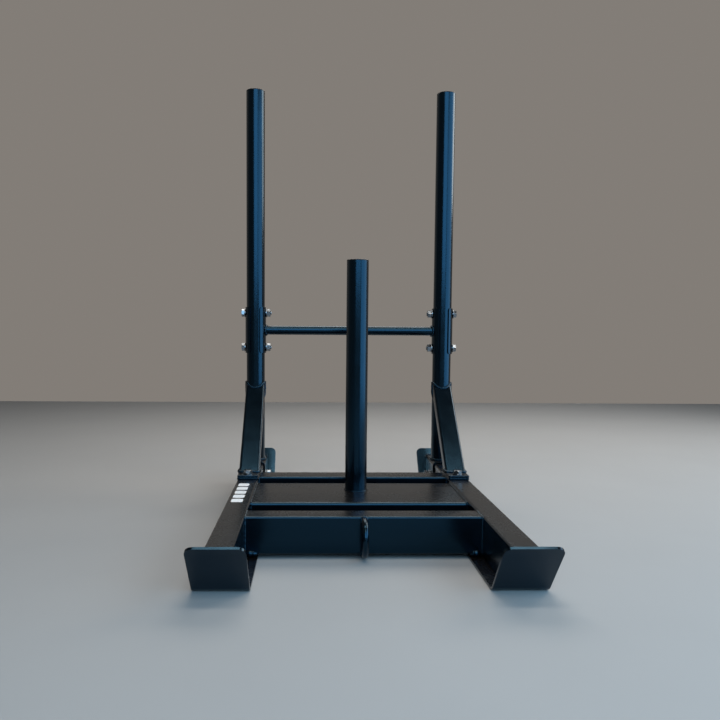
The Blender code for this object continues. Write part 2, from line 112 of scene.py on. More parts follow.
print("a tube outline has", len(tube_outline((0, 0), (0.05, 0.08), 0.006)), "points")

# %% [markdown]
# ## From outlines to pieces
# A skin over rings of points makes every shape on this sled: two rings for a length of tube, a row
# of rings for a ski that narrows at its tips, and rings round an axis for turned things such as
# plugs and bolts. Blender's own primitives could be scaled instead, but their ends can't follow
# another tube. The cut edges of sheet and plate get a live bevel, because paint never lies on a
# knife edge, and a black thing is read by the thin light lines on its edges.

# %% From outlines to pieces
BEVEL_SEGMENTS = 3
SHARP_ANGLE = radians(40)  # faces that meet at more than this meet in an edge
MERGE_DISTANCE = 1e-7


def skin(name, rows, ends="flat"):
    """A mesh over rows of points. A row of one point is a pole; `ends` is flat, strips or open.

    An open skin whose last row is its first again is joined up there.
    """
    sketch = bmesh.new()
    rows = [[sketch.verts.new(point) for point in row] for row in rows]
    for before, after in zip(rows, rows[1:]):
        count = max(len(before), len(after))
        for here in range(count):
            there = (here + 1) % count
            if len(before) == 1:
                sketch.faces.new((before[0], after[there], after[here]))
            elif len(after) == 1:
                sketch.faces.new((before[here], before[there], after[0]))
            else:
                sketch.faces.new((before[here], before[there], after[there], after[here]))
    for row in (rows[0], rows[-1]):
        if ends == "flat" and len(row) > 2:
            sketch.faces.new(row)
        if ends == "strips":
            for here in range(len(row) // 2 - 1):
                sketch.faces.new((row[here], row[here + 1], row[-2 - here], row[-1 - here]))
    if ends == "open":
        bmesh.ops.remove_doubles(sketch, verts=sketch.verts, dist=MERGE_DISTANCE)
    bmesh.ops.recalc_face_normals(sketch, faces=sketch.faces)
    mesh = bpy.data.meshes.new(name)
    sketch.to_mesh(mesh)
    sketch.free()
    return mesh


def linked(name, data):
    """A new object in the scene."""
    made = bpy.data.objects.new(name, data)
    bpy.context.scene.collection.objects.link(made)
    return made


def piece(name, mesh, finish, nodes, eased=0.0):
    """Links a mesh as a piece of the sled that stands for these solids, with its edges eased."""
    mesh.shade_smooth()
    made = linked(name, mesh)
    mesh.materials.clear()
    mesh.materials.append(finish)
    if eased:
        bevel = made.modifiers.new("eased_edges", "BEVEL")
        bevel.width = eased
        bevel.segments = BEVEL_SEGMENTS
        bevel.limit_method = "ANGLE"
        bevel.angle_limit = SHARP_ANGLE
        bevel.harden_normals = True
    else:
        mesh.set_sharp_from_angle(angle=SHARP_ANGLE)
    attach(made, "root")
    if nodes:
        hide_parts(*nodes)


def across(outline, low, high):
    """Two rings of a (Y, Z) outline, at two places along X."""
    return [[(x, a, b) for a, b in outline] for x in (low, high)]


def along(outline, low, high):
    """Two rings of an (X, Z) outline, at two places along Y."""
    return [[(a, y, b) for a, b in outline] for y in (low, high)]


def upright(outline, low, high, centre=(0, 0)):
    """Two rings of an (X, Y) outline, at two heights."""
    return [[(centre[0] + a, centre[1] + b, z) for a, b in outline] for z in (low, high)]


print("edges are eased in", BEVEL_SEGMENTS, "steps")

# %% [markdown]
# ## Finishes
# Three finishes cover the sled. The steel has a satin black powder coat, which is never quite
# flat: it has a fine orange-peel skin, slow changes of gloss, and a warm grey lightening on what
# faces up, partly dust and partly a painted sheen of the light that the tops catch. The fasteners
# are bright zinc, and the plugs are matt moulded plastic. Painting textures by hand would give
# the same look, but patterns on Object coordinates need no unwrapping and stay in place.

# %% A helper for node trees
def add_node(tree, kind, inputs=None, **settings):
    """Adds a node. Each input takes a plain value, or an output to be linked to it."""
    node = tree.nodes.new(kind)
    for key, value in settings.items():
        setattr(node, key, value)
    for key, value in (inputs or {}).items():
        if isinstance(value, bpy.types.NodeSocket):
            tree.links.new(value, node.inputs[key])
        else:
            node.inputs[key].default_value = value
    return node


def output(tree, kind, inputs=None, **settings):
    """The first output of a new node."""
    return add_node(tree, kind, inputs, **settings).outputs[0]


def maths(tree, operation, a, b=0.0):
    return output(tree, "ShaderNodeMath", {0: a, 1: b}, operation=operation)


def times(tree, a, *others):
    for b in others:
        a = maths(tree, "MULTIPLY", a, b)
    return a


def remap(tree, value, low, high, to_low=0.0, to_high=1.0):
    """Stretches the range from low to high onto another one, and clamps it there."""
    given = {"Value": value, "From Min": low, "From Max": high, "To Min": to_low, "To Max": to_high}
    return output(tree, "ShaderNodeMapRange", given)


def noise(tree, place, scale, detail=3.0, roughness=0.5):
    given = {"Vector": place, "Scale": scale, "Detail": detail, "Roughness": roughness}
    return output(tree, "ShaderNodeTexNoise", given)


def mix_colour(tree, factor, a, b):
    given = {"Factor": factor, 6: a, 7: b}
    return add_node(tree, "ShaderNodeMix", given, data_type="RGBA").outputs[2]


def looking_up(tree):
    """How far a face looks up, from -1 to 1."""
    normal = add_node(tree, "ShaderNodeNewGeometry").outputs["Normal"]
    return add_node(tree, "ShaderNodeSeparateXYZ", {0: normal}).outputs["Z"]


def new_finish(name, constants):
    """A material's tree and shader, with these constants, and the place that patterns use."""
    finish = bpy.data.materials.new(name)
    finish.use_nodes = True
    tree = finish.node_tree
    place = add_node(tree, "ShaderNodeTexCoord").outputs["Object"]
    shader = tree.nodes["Principled BSDF"].inputs
    for key, value in constants.items():
        shader[key].default_value = value
    return finish, tree, shader, place


def dress(tree, shader, colour, rough, relief, strength, depth):
    """Links a colour, a roughness and a bump to the shader."""
    given = {"Height": relief, "Strength": strength, "Distance": depth}
    tree.links.new(colour, shader["Base Color"])
    tree.links.new(rough, shader["Roughness"])
    tree.links.new(output(tree, "ShaderNodeBump", given), shader["Normal"])


print("helpers ready")

# %% [markdown]
# ### Powder coat
# The coat is nearly black, so its looks come from its gloss. Its reflections are slightly blue
# where it faces the light and lose that tint at a flat angle. Two bumps lie over each other: the
# orange peel, a couple of millimetres across, and a finer grain. Dust, together with a painted
# warm sheen, lightens only the faces that look up.

# %% Powder coat
COAT_COLOUR = (0.0008, 0.0014, 0.0024, 1)
COAT_ROUGHNESS = (0.17, 0.23)
# The tint shows where a face is seen squarely.
COAT_GLOSS = {"IOR": 1.36, "Specular IOR Level": 0.9, "Specular Tint": (0.22, 0.62, 1.0, 1)}
# Partly real dust and partly a painted warm sheen: this colour lightens the tops as the light they
# catch would.
DUST_AND_SHEEN_COLOUR = (0.010, 0.0070, 0.0050, 1)
DUST_ROUGHNESS = 0.12  # added to the coat's own
DUST_AND_SHEEN_FROM = 0.75  # dust and a painted warm sheen lie on faces that look up by more than this
PAINT_COLOUR = (0.80, 0.81, 0.82, 1)
PAINT_ROUGHNESS = 0.45
# The scales of the patterns, in cells per metre.
CLOUDS, GLOSS_PATCHES, SPECKS, ORANGE_PEEL, FINE_GRAIN = 9.0, 22.0, 260.0, 520.0, 1700.0


def dust_and_sheen_mask(tree, place):
    """Clouds of fine specks on what looks up: dust, with a painted warm sheen of the light on the
    tops.
    """
    clouds = remap(tree, noise(tree, place, CLOUDS, 4.0), 0.25, 0.7, 0.35, 1.0)
    specks = remap(tree, noise(tree, place, SPECKS, 2.0, 0.7), 0.3, 0.7, 0.5, 1.0)
    upper = remap(tree, looking_up(tree), DUST_AND_SHEEN_FROM, 1.0)
    return times(tree, upper, clouds, specks)


def powder_coat(name, marks=None):
    """The black coat. `marks`, if given, returns a mask of white paint for a tree and a place."""
    finish, tree, shader, place = new_finish(name, COAT_GLOSS)
    # Lighter tops: dust, and a painted sheen of the light that falls on them.
    dust_and_sheen = dust_and_sheen_mask(tree, place)
    colour = mix_colour(tree, dust_and_sheen, COAT_COLOUR, DUST_AND_SHEEN_COLOUR)
    gloss = remap(tree, noise(tree, place, GLOSS_PATCHES), 0.3, 0.7, *COAT_ROUGHNESS)
    rough = maths(tree, "ADD", gloss, times(tree, dust_and_sheen, DUST_ROUGHNESS))
    if marks:
        painted = marks(tree, place)
        colour = mix_colour(tree, painted, colour, PAINT_COLOUR)
        rough = maths(tree, "MAXIMUM", rough, times(tree, painted, PAINT_ROUGHNESS))
    peel = noise(tree, place, ORANGE_PEEL, 1.5, 0.4)
    grain = times(tree, noise(tree, place, FINE_GRAIN, 2.0), 0.25)
    dress(tree, shader, colour, rough, maths(tree, "ADD", peel, grain), 0.16, 0.0003)
    return finish


coat = powder_coat("satin_black_coat")
print(coat.name, "has", len(coat.node_tree.nodes), "nodes")

# %% [markdown]
# ### Painted marks
# The front of the left runner carries some white paint. Here it is a plain row of rounded blocks.
# A thin solid could stand for the paint, but a mask in the finish lies exactly on the steel: it is
# the distance to the nearest rounded rectangle in a row that repeats along the runner.

# %% Painted marks
MARK_MIDDLE = (-0.2615, -0.0245, 0.0)
MARK_SIZE = (0.025, 0.029)
MARK_CORNER = 0.005
MARK_PITCH = 0.038
MARK_COUNT = 5
PAINT_EDGE = 0.0002  # the paint fades out over this, to each side
PAINTED_FROM = 0.8  # likewise for paint


def block_marks(tree, place):
    """A mask of rounded blocks in a row along the runner's top."""
    given = {0: place, 1: MARK_MIDDLE}
    centred = output(tree, "ShaderNodeVectorMath", given, operation="SUBTRACT")
    split = add_node(tree, "ShaderNodeSeparateXYZ", {0: centred}).outputs
    wrap = {0: split["Y"], 1: MARK_PITCH / 2, 2: -MARK_PITCH / 2}
    repeated = output(tree, "ShaderNodeMath", wrap, operation="WRAP")
    outside = []
    for value, size in zip((split["X"], repeated), MARK_SIZE):
        beyond = maths(tree, "SUBTRACT", maths(tree, "ABSOLUTE", value), size / 2 - MARK_CORNER)
        outside.append(maths(tree, "POWER", maths(tree, "MAXIMUM", beyond), 2.0))
    distance = maths(tree, "SQRT", maths(tree, "ADD", *outside))
    block = remap(tree, distance, MARK_CORNER - PAINT_EDGE, MARK_CORNER + PAINT_EDGE, 1.0, 0.0)
    reach = maths(tree, "ABSOLUTE", split["Y"])
    in_row = maths(tree, "LESS_THAN", reach, MARK_COUNT * MARK_PITCH / 2)
    on_top = maths(tree, "GREATER_THAN", looking_up(tree), PAINTED_FROM)
    return times(tree, block, in_row, on_top)


marked_coat = powder_coat("satin_black_coat_with_marks", block_marks)
print(MARK_COUNT, "marks over", round(MARK_COUNT * MARK_PITCH, 3), "m")

# %% [markdown]
# ### Zinc and plastic
# Zinc plate on a forged bolt is a bright metal with a faint brushed unevenness in its gloss. The
# plugs are matt black plastic with the fine spark grain of the mould.

# %% Zinc and plastic
ZINC_COLOURS = (0.17, 0.20, 0.23, 1), (0.27, 0.30, 0.33, 1)
ZINC_ROUGHNESS = (0.18, 0.30)
PLASTIC_COLOURS = (0.008, 0.009, 0.010, 1), (0.014, 0.015, 0.017, 1)
PLASTIC_ROUGHNESS = (0.42, 0.58)


def mottled(name, constants, colours, clouds, roughness, grain, strength, depth):
    """Two colours in clouds, under a finer grain that sets the gloss and the bump."""
    finish, tree, shader, place = new_finish(name, constants)
    colour = mix_colour(tree, noise(tree, place, clouds), *colours)
    relief = noise(tree, place, grain, 2.0)
    dress(tree, shader, colour, remap(tree, relief, 0.3, 0.7, *roughness), relief, strength, depth)
    return finish


zinc = mottled("bright_zinc", {"Metallic": 1.0},
               ZINC_COLOURS, 160.0, ZINC_ROUGHNESS, 900.0, 0.12, 0.0001)
plastic = mottled("matt_black_plastic", {"Specular IOR Level": 0.4},
                  PLASTIC_COLOURS, 60.0, PLASTIC_ROUGHNESS, 1400.0, 0.2, 0.0002)
print(zinc.name, plastic.name)

# %% [markdown]
# ## Skis
# Each ski is one flat plate with its four corners rounded, pressed up at both ends. A flat plate
# bent by a modifier would do, but the exact line of the press is simple: two straight tips, two
# arcs and the sole. The plate is skinned over cross sections along that line, which get narrower
# near the ends to round the corners.

# %% The line of a ski
SKI_THICKNESS = 0.005
TIP_ANGLE = radians(51.5)
BEND_RADIUS = 0.020
BEND_STEPS = 20
GAP = 0.0003  # between two solids of the frame that touch on the real sled


def ski_line():
    """The middle of the ski's plate, from the front tip to the rear tip, as (Y, Z) points."""
    low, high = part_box("left_ski")
    half = SKI_THICKNESS / 2
    bend = BEND_RADIUS + half
    rise = bend * (1 - cos(TIP_ANGLE))
    tip_run = (high.z - half - rise - half * cos(TIP_ANGLE)) / sin(TIP_ANGLE)
    run = tip_run + bend * tan(TIP_ANGLE / 2)
    tip_y = high.y - half * sin(TIP_ANGLE)
    corner_y = tip_y - run * cos(TIP_ANGLE)
    tip_z = half + run * sin(TIP_ANGLE)
    corners = [(-tip_y, tip_z), (-corner_y, half), (corner_y, half), (tip_y, tip_z)]
    return folded_line(corners, bend, BEND_STEPS)


print("the ski's line has", len(ski_line()), "points")

# %% Skis
SKI_CORNER = 0.015
CORNER_STEPS = 10
PLATE_EASE = 0.0009


def rounded_end(radius, steps):
    """A plate's rounded corner, as steps back from its end and how much narrower it is there."""
    turns = [pi / 2 * step / steps for step in range(steps + 1)]
    return [(radius * (1 - cos(turn)), radius * (1 - sin(turn))) for turn in turns]


def steel(name, rows, nodes, ends="flat", eased=0.0, finish=coat):
    """A painted piece over rows of points."""
    piece(name, skin(name, rows, ends), finish, nodes, eased)


def ski_rows(middle, width):
    """Cross sections of the plate along its line."""
    line = ski_line()
    stations = [(point, normal, 0.0) for point, normal in line[1:-1]]
    for (tip, normal), inward in ((line[0], line[1]), (line[-1], line[-2])):
        way = (inward[0] - tip).normalized()
        corner = rounded_end(SKI_CORNER, CORNER_STEPS)
        corner = [(tip + way * back, normal, narrowing) for back, narrowing in corner]
        stations = corner + stations if tip.x < 0 else stations + corner[::-1]
    rows = []
    for point, normal, narrowing in stations:
        reach = width / 2 - narrowing
        row = []
        for x, lift in ((-reach, -1), (reach, -1), (reach, 1), (-reach, 1)):
            off = point + normal * lift * SKI_THICKNESS / 2
            row.append((middle + x, off.x, off.y))
        rows.append(row)
    return rows


for hand, side in SIDES:
    low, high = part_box(f"{hand}_ski")
    rows = ski_rows((low.x + high.x) / 2, high.x - low.x)
    steel(f"{hand}_ski_plate", rows, [f"{hand}_ski"], eased=PLATE_EASE)
    print(hand, "ski", len(rows), "sections")

# %% [markdown]
# ## Runners
# The runners are rectangular tubes whose ends are cut to the skis' tips. On the real sled the tube
# is sawn and pressed against the bent plate. A boolean with the ski would leave ragged faces, so
# each point of the tube's outline is simply run out to the place where it meets the ski.

# %% Runners
TUBE_CORNER = 0.004
SIDE_CUTS = 24  # in the side of a tube whose end follows a curve
TINY = 1e-9  # so that nothing is divided by zero


def ski_surface():
    """The upper side of the ski's rear half as (Y, Z) points that rise to the tip."""
    lift = SKI_THICKNESS / 2 + GAP
    return [tuple(point + normal * lift) for point, normal in ski_line() if point.x > 0]


def reach_at(height):
    """How far from the middle the ski's upper side is at a height."""
    surface = ski_surface()
    for (y_a, z_a), (y_b, z_b) in zip(surface, surface[1:]):
        if height <= z_b:
            return y_a + (y_b - y_a) * max(0.0, height - z_a) / max(z_b - z_a, TINY)
    return surface[-1][0]


for hand, side in SIDES:
    low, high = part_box(f"{hand}_runner")
    outline = tube_outline(low.xz, high.xz, TUBE_CORNER, SIDE_CUTS)
    rows = [[(x, end * reach_at(z), z) for x, z in outline] for end in (-1, 1)]
    finish = marked_coat if hand == "left" else coat
    steel(f"{hand}_runner_tube", rows, [f"{hand}_runner"], "strips", finish=finish)
    print(hand, "runner reaches", round(reach_at(high.z), 4), "m")

# %% [markdown]
# ## Cross tubes and platform
# A tall tube ties the runners at the tow end, and a lower one behind the platform. The platform is
# a plate folded down along its front and rear edges, so that it is stiff enough for a stack of
# plates.

# %% Cross tubes
for name in ("front_cross_tube", "rear_cross_tube"):
    low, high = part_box(name)
    outline = tube_outline(low.yz, high.yz, TUBE_CORNER)
    steel(f"{name}_steel", across(outline, low.x, high.x), [name])
    print(name, round(high.z - low.z, 4), "m tall")

# %% Platform
DECK_THICKNESS = 0.005
DECK_BEND = 0.0015  # the radius inside the bend
low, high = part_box("weight_platform")
half = DECK_THICKNESS / 2
front, rear, top = low.y + half, high.y - half, high.z - half
corners = [(front, low.z), (front, top), (rear, top), (rear, low.z)]
outline = sheet_outline(folded_line(corners, DECK_BEND + half), DECK_THICKNESS)
steel("platform_plate", across(outline, low.x, high.x), ["weight_platform"], eased=PLATE_EASE)
print("platform", round(high.x - low.x, 4), "by", round(high.y - low.y, 4), "m")

# %% [markdown]
# ## Post and poles
# All three are round tube. They stand as plain turned walls with many faces, because their long
# soft highlights would show every flat. A plug is pressed into each top. It is turned from its
# profile: a slightly crowned disc with a rounded rim, over a hollow collar that grips the inside
# of the tube.

# %% The shape of a plug
TUBE_WALL = 0.003
PLUG_RIM = 0.0015
PLUG_RIM_STEPS = 8
PLUG_COLLAR = 0.020
CROWN_HEIGHT = 0.0006
CROWN_REACH = 0.9  # of the plug's radius
CROWN_STEPS = 12


def plug_rows(centre, rim, seat, top):
    """Rings down the plug's crown and rim, down its collar and up again inside it."""
    parts = [step / CROWN_STEPS for step in range(CROWN_STEPS + 1)]
    profile = [(rim * CROWN_REACH * part, top - CROWN_HEIGHT * part ** 2) for part in parts]
    edge = (rim - PLUG_RIM, top - CROWN_HEIGHT - PLUG_RIM)
    profile += arc(edge, PLUG_RIM, 90, 0, PLUG_RIM_STEPS)
    collar, foot = rim - TUBE_WALL - GAP, seat - PLUG_COLLAR
    profile += [(rim, seat), (collar, seat), (collar, foot), (collar - TUBE_WALL, foot)]
    profile += [(collar - TUBE_WALL, seat), (0, seat)]
    rows = []
    for radius, z in profile:
        ring = [(centre.x + radius * a, centre.y + radius * b, z) for a, b in circle(1.0)]
        rows.append(ring if radius > 0 else [(centre.x, centre.y, z)])
    return rows


print("a plug has", len(plug_rows(Vector((0, 0, 0)), 0.025, 0, 0.003)), "rings")

# %% Post and poles
for name in ("left_pole", "right_pole", "weight_post"):
    low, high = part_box(name)
    centre = (low + high) / 2
    radius = (high.x - low.x) / 2
    outside = upright(circle(radius), low.z, high.z, centre)
    inside = upright(circle(radius - TUBE_WALL), low.z, high.z, centre)
    steel(f"{name}_tube", outside + inside[::-1] + outside[:1], [name], "open")
    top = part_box(f"{name}_cap")[1].z
    mesh = skin(f"{name}_plug", plug_rows(centre, radius, high.z + GAP, top), "open")
    piece(f"{name}_plug", mesh, plastic, [f"{name}_cap"])
    print(name, "top", round(top, 4), "m")

# %% [markdown]
# ## Saddles, braces and their plates
# A saddle is a plate folded over the runner like a staple, and the pole is welded to its top. The
# brace is a flat tube at 45 degrees. Its foot is cut level and its top is cut to wrap round the
# pole. As with the runners, each point of its outline is run out to the two surfaces it meets.
# Below it, one plate is welded to the brace and one to the runner.

# %% The ends of a brace
BRACE_ANGLE = radians(45)
BRACE_WIDTH = 0.050
BRACE_DEPTH = 0.030
BRACE_CORNER = 0.006
pole_low, pole_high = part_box("right_pole")
POLE_X = (pole_low.x + pole_high.x) / 2
POLE_Y = (pole_low.y + pole_high.y) / 2
POLE_RADIUS = (pole_high.x - pole_low.x) / 2


def brace_rows(side):
    """The outlines of the brace's foot and of its notched top."""
    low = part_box("right_brace")[0]
    sine, cosine = sin(BRACE_ANGLE), cos(BRACE_ANGLE)
    foot = low.y + BRACE_DEPTH / sine / 2
    reach_v, reach_x = BRACE_DEPTH / 2, BRACE_WIDTH / 2
    rows = [[], []]
    for v, x in tube_outline((-reach_v, -reach_x), (reach_v, reach_x), BRACE_CORNER, SIDE_CUTS):
        notch = POLE_Y - sqrt(max((POLE_RADIUS + GAP) ** 2 - x * x, 0))
        starts = -v * cosine / sine
        ends = (notch - foot + v * sine) / cosine
        for row, t in zip(rows, (starts, ends)):
            y, z = foot - v * sine + t * cosine, low.z + v * cosine + t * sine
            row.append((side * POLE_X + x, y, z))
    return rows


print("the brace's outline has", len(brace_rows(1)[0]), "points")

# %% Saddles, braces and their plates
SADDLE_THICKNESS = 0.004
PLATE_CORNER = 0.003
PAD_EASE = 0.0013
half = SADDLE_THICKNESS / 2

for hand, side in SIDES:
    low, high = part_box(f"{hand}_saddle")
    left, right, top = low.x + half, high.x - half, high.z - half
    corners = [(left, low.z), (left, top), (right, top), (right, low.z)]
    fold = folded_line(corners, TUBE_CORNER + GAP + half)
    rows = along(sheet_outline(fold, SADDLE_THICKNESS), low.y, high.y)
    steel(f"{hand}_saddle_plate", rows, [f"{hand}_saddle"], eased=PLATE_EASE)
    steel(f"{hand}_brace_tube", brace_rows(side), [f"{hand}_brace"], "strips")
    for name in (f"{hand}_brace_foot", f"{hand}_runner_pad"):
        low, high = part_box(name)
        outline = tube_outline(low.xy, high.xy, PLATE_CORNER)
        steel(f"{name}_plate", upright(outline, low.z, high.z), [name], eased=PAD_EASE)
    print(hand, "upright: saddle, brace, foot and pad")

# %% [markdown]
# ## Clamps and handle bar
# A clamp is a shell rolled round the back of the pole, open in front, and two bolts through its
# sides hold it. The bar between the clamps ends in a curve that fits them.

# %% Clamps
CLAMP_THICKNESS = 0.003
CLAMP_OPENING = 58  # degrees
CLAMP_CORNER = 0.006
CLAMP_CORNER_STEPS = 8
CLAMP_STEPS = 96
CLAMP_EASE = 0.0014
CLAMP_INNER = POLE_RADIUS + GAP
CLAMP_OUTER = CLAMP_INNER + CLAMP_THICKNESS
clamp_low, clamp_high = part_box("right_clamp")


def clamp_rows(side):
    """Sections of the shell, from one edge of its opening round the back to the other edge."""
    reach = radians(180 - CLAMP_OPENING / 2)
    corner = rounded_end(CLAMP_CORNER, CLAMP_CORNER_STEPS)
    corner = [(reach - back / CLAMP_OUTER, narrowing) for back, narrowing in corner]
    rest = reach - CLAMP_CORNER / CLAMP_OUTER
    stations = [(rest - 2 * rest * step / CLAMP_STEPS, 0.0) for step in range(1, CLAMP_STEPS)]
    stations = corner + stations + [(-angle, narrowing) for angle, narrowing in corner[::-1]]
    rows = []
    for angle, narrowing in stations:
        low, high = clamp_low.z + narrowing, clamp_high.z - narrowing
        section = [(CLAMP_OUTER, low), (CLAMP_OUTER, high), (CLAMP_INNER, high), (CLAMP_INNER, low)]
        a, b = sin(angle), cos(angle)
        rows.append([(side * POLE_X + r * a, POLE_Y + r * b, z) for r, z in section])
    return rows


for hand, side in SIDES:
    steel(f"{hand}_clamp_shell", clamp_rows(side), [f"{hand}_clamp"], eased=CLAMP_EASE)
print("clamps", round(clamp_high.z - clamp_low.z, 4), "m tall")

# %% Handle bar
BAR_SIDES = 64


def bar_rows():
    """The bar's two ends, each run out to the outside of its clamp."""
    low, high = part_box("handle_bar")
    middle = (low + high) / 2
    rows = [[], []]
    for a, b in circle((high.z - low.z) / 2, BAR_SIDES):
        x = POLE_X - sqrt((CLAMP_OUTER + GAP) ** 2 - b * b)
        for row, side in zip(rows, (-1, 1)):
            row.append((side * x, middle.y + b, middle.z + a))
    return rows


steel("push_bar", bar_rows(), ["handle_bar"], "strips")
print("bar of", 2 * len(bar_rows()[0]), "points")

# %% [markdown]
# ## A rod or a weld along a path
# The tow loop and all the welds follow a path, so one tree of geometry nodes makes them. It walks
# along the path in even steps and sweeps a circle whose size changes as it goes: not at all for
# the rod, and for a weld in the small even ripples of a hand-held torch, with a little unevenness.
# The noise has no time in it, so the same path always gives the same bead.

# %% The sweep tree
def open_tree(name, sockets):
    """A new tree of geometry nodes with these named inputs and one output of geometry."""
    tree = bpy.data.node_groups.new(name, "GeometryNodeTree")
    tree.interface.new_socket("Geometry", in_out="INPUT", socket_type="NodeSocketGeometry")
    for socket_name, kind in sockets:
        tree.interface.new_socket(socket_name, in_out="INPUT", socket_type=f"NodeSocket{kind}")
    tree.interface.new_socket("Geometry", in_out="OUTPUT", socket_type="NodeSocketGeometry")
    return tree, tree.nodes.new("NodeGroupInput").outputs


def close_tree(tree, geometry, material):
    """Ends a tree in real faces with their material."""
    real = output(tree, "GeometryNodeRealizeInstances", {"Geometry": geometry})
    smooth = output(tree, "GeometryNodeSetShadeSmooth", {"Geometry": real})
    dressed = {"Geometry": smooth, "Material": material}
    add_node(tree, "NodeGroupOutput", {0: output(tree, "GeometryNodeSetMaterial", dressed)})


SWEEP_SIZES = ("Radius", "Step", "Ripple Pitch", "Ripple Depth", "Unevenness", "Seed", "End Taper")
BEAD_SIDES = 14
LUMPS = 150.0  # the scale of the unevenness, in cells per metre
TIP_SIZE = 0.45  # of a tapered end, as a part of the radius


def sweep_tree():
    sockets = [(name, "Float") for name in SWEEP_SIZES] + [("Material", "Material")]
    tree, given = open_tree("sweep_along_path", sockets)
    path = output(tree, "GeometryNodeMeshToCurve", {"Mesh": given["Geometry"]})
    sampling = {"Curve": path, "Length": given["Step"]}
    path = output(tree, "GeometryNodeResampleCurve", sampling, mode="LENGTH")
    walked = add_node(tree, "GeometryNodeSplineParameter").outputs["Length"]
    whole = add_node(tree, "GeometryNodeSplineLength").outputs["Length"]
    turns = maths(tree, "DIVIDE", walked, given["Ripple Pitch"])
    ripple = maths(tree, "SINE", times(tree, turns, 2 * pi))
    ripple = times(tree, ripple, given["Ripple Depth"])
    place = output(tree, "GeometryNodeInputPosition")
    shift = output(tree, "ShaderNodeCombineXYZ", {0: given["Seed"], 1: given["Seed"]})
    place = output(tree, "ShaderNodeVectorMath", {0: place, 1: shift}, operation="ADD")
    uneven = remap(tree, noise(tree, place, LUMPS, 2.0), 0.25, 0.75, -1.0, 1.0)
    uneven = times(tree, uneven, given["Unevenness"])
    from_end = maths(tree, "MINIMUM", walked, maths(tree, "SUBTRACT", whole, walked))
    from_end = maths(tree, "DIVIDE", from_end, given["End Taper"])
    taper = remap(tree, from_end, 0.0, 1.0, TIP_SIZE, 1.0)
    scale = maths(tree, "ADD", maths(tree, "ADD", ripple, uneven), 1.0)
    scale = times(tree, scale, taper, given["Radius"])
    ring = {"Resolution": BEAD_SIDES, "Radius": 1.0}
    ring = output(tree, "GeometryNodeCurvePrimitiveCircle", ring)
    sweeping = {"Curve": path, "Profile Curve": ring, "Scale": scale, "Fill Caps": True}
    close_tree(tree, output(tree, "GeometryNodeCurveToMesh", sweeping), given["Material"])
    return tree


sweep = sweep_tree()
print(sweep.name, "has", len(sweep.nodes), "nodes")

# %% Running a tree
def run_tree(name, tree, start, values):
    """Runs a tree on a mesh and returns the result as a plain mesh."""
    guide = linked(f"{name}_guide", start)
    modifier = guide.modifiers.new("nodes", "NODES")
    modifier.node_group = tree
    for item in tree.interface.items_tree:
        if item.in_out == "INPUT" and item.name in values:
            modifier[item.identifier] = values[item.name]
    bpy.context.view_layer.update()
    ready = guide.evaluated_get(bpy.context.evaluated_depsgraph_get())
    mesh = bpy.data.meshes.new_from_object(ready)
    mesh.name = name
    bpy.data.objects.remove(guide, do_unlink=True)
    return mesh


def path_mesh(name, paths):
    """A mesh of edges only. A path whose last point is its first again is a ring."""
    points, edges = [], []
    for path in paths:
        ring = (Vector(path[0]) - Vector(path[-1])).length < MERGE_DISTANCE
        first = len(points)
        points += path[:-1] if ring else path
        last = len(points) - 1
        edges += [(i, i + 1) for i in range(first, last)]
        if ring:
            edges.append((last, first))
    mesh = bpy.data.meshes.new(name)
    mesh.from_pydata(points, edges, [])
    return mesh


def swept(name, paths, sizes, nodes):
    """A painted piece that is swept along these paths."""
    guides = path_mesh(f"{name}_paths", paths)
    mesh = run_tree(name, sweep, guides, {**sizes, "Material": coat})
    piece(name, mesh, coat, nodes)
    print(name, len(paths), "paths,", len(mesh.polygons), "faces")


print("the tree takes", len(SWEEP_SIZES), "sizes")

# %% [markdown]
# ## Tow loop
# The loop is a round bar bent into a U and welded to the front tube. A torus could be cut in half
# for it, but as a path it also gets its two short straight legs.

# %% Tow loop
ROD_STEP = 0.0012
LOOP_STEPS = 48
NO_TAPER = 1e-6  # an end keeps its full size
low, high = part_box("tow_loop")
ROD_RADIUS = (high.x - low.x) / 2
LOOP_RADIUS = (high.z - low.z) / 2 - ROD_RADIUS
loop_z = (low.z + high.z) / 2
bend_y = low.y + ROD_RADIUS + LOOP_RADIUS
loop_path = [(0, high.y, loop_z + LOOP_RADIUS)]
loop_path += [(0, y, z) for y, z in arc((bend_y, loop_z), LOOP_RADIUS, 90, 270, LOOP_STEPS)]
loop_path.append((0, high.y, loop_z - LOOP_RADIUS))
rod_sizes = {"Radius": ROD_RADIUS, "Step": ROD_STEP, "Ripple Pitch": 1.0, "Ripple Depth": 0.0,
             "Unevenness": 0.0, "Seed": 0.0, "End Taper": NO_TAPER}
swept("tow_loop_rod", [loop_path], rod_sizes, ["tow_loop"])

# %% [markdown]
# ## Fasteners
# The bolts have hexagon heads that are chamfered by a cone, which leaves a curved edge on each
# flat, and a thread that shows where it comes out of the nut. Each kind is modelled once, along
# its own axis. Since a hexagon is just a circle whose radius changes with the angle, the same skin
# makes it.

# %% Rings of a fastener
HEX_WIDTH = 0.0185
HEX_REACH = HEX_WIDTH / 2
HEX_CORNER = HEX_REACH * 1.145  # a sharp corner would be at 1.155
CHAMFER_FROM = HEX_REACH * 0.95
CHAMFER_ANGLE = radians(30)
TURNS = 72


def around(radius_at, height_at):
    """A ring of points whose radius and height may change with the angle."""
    ring = []
    for step in range(TURNS):
        angle = 2 * pi * step / TURNS
        radius = radius_at(angle)
        ring.append((radius * cos(angle), radius * sin(angle), height_at(angle, radius)))
    return ring


def level(radius, z):
    return around(lambda angle: radius, lambda angle, r: z)


